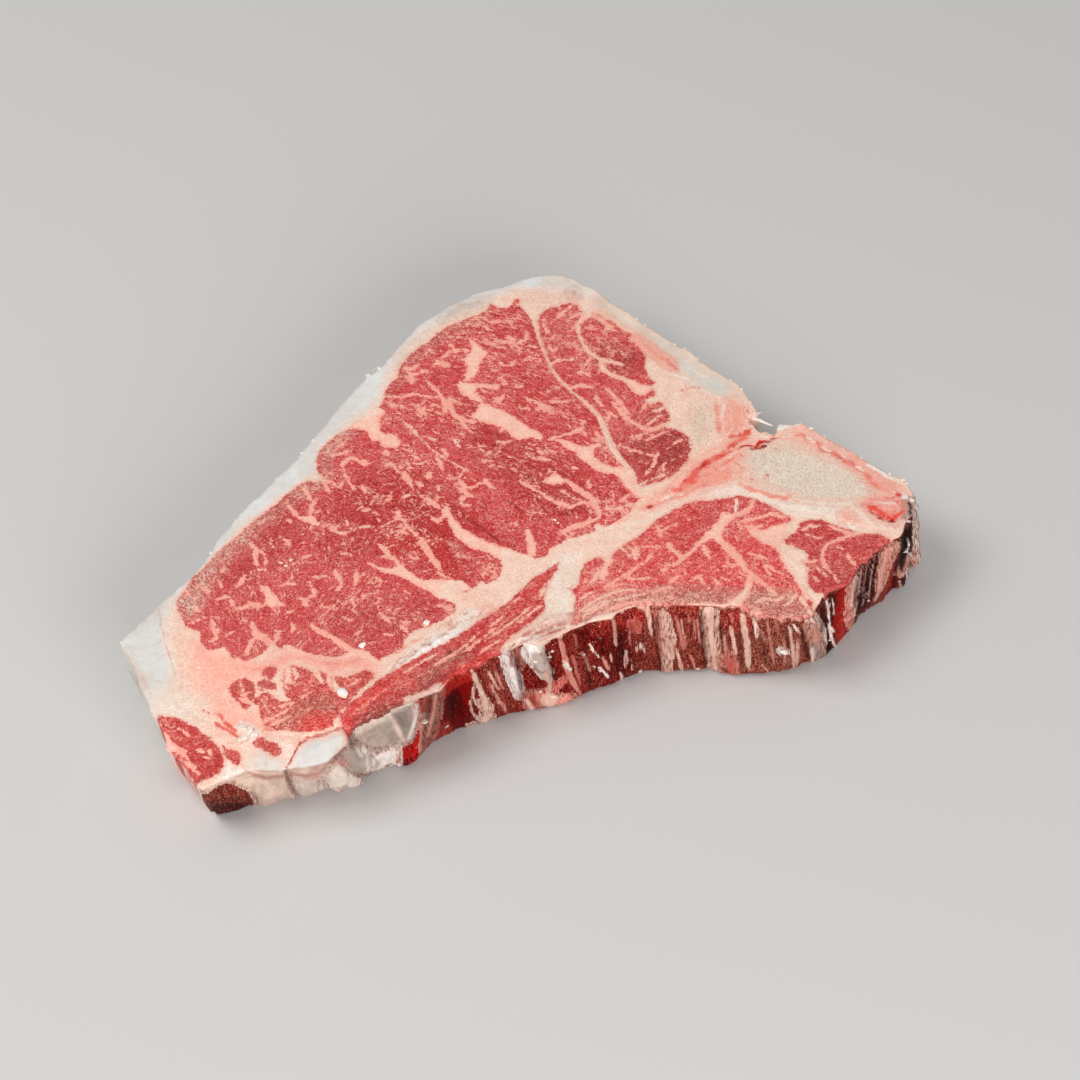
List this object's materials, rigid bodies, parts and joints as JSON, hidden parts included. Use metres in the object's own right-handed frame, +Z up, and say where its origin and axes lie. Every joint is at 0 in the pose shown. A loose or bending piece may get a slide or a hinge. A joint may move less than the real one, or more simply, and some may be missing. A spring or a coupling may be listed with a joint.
{
  "type": "raw t-bone steak",
  "caption": "Raw T-bone steak, cut through a lumbar vertebra: strip loin and tenderloin either side of the T-shaped bone, with cover fat along the back edge and flank end.",
  "frame": {"origin": "middle of the footprint, on the flat underside", "axes": "+Z up out of the upper cut face, +X along the long side towards the vertebra's body, +Y towards the chine"},
  "size_m": [0.2024, 0.182, 0.025],
  "materials": {
    "bone": "sawn, matt",
    "lean": "moist, satin",
    "fat": "waxy, satin"
  },
  "bodies": {
    "root": {"bone": "bone", "lean": "lean", "fat_cover": "fat"}
  },
  "joints": []
}
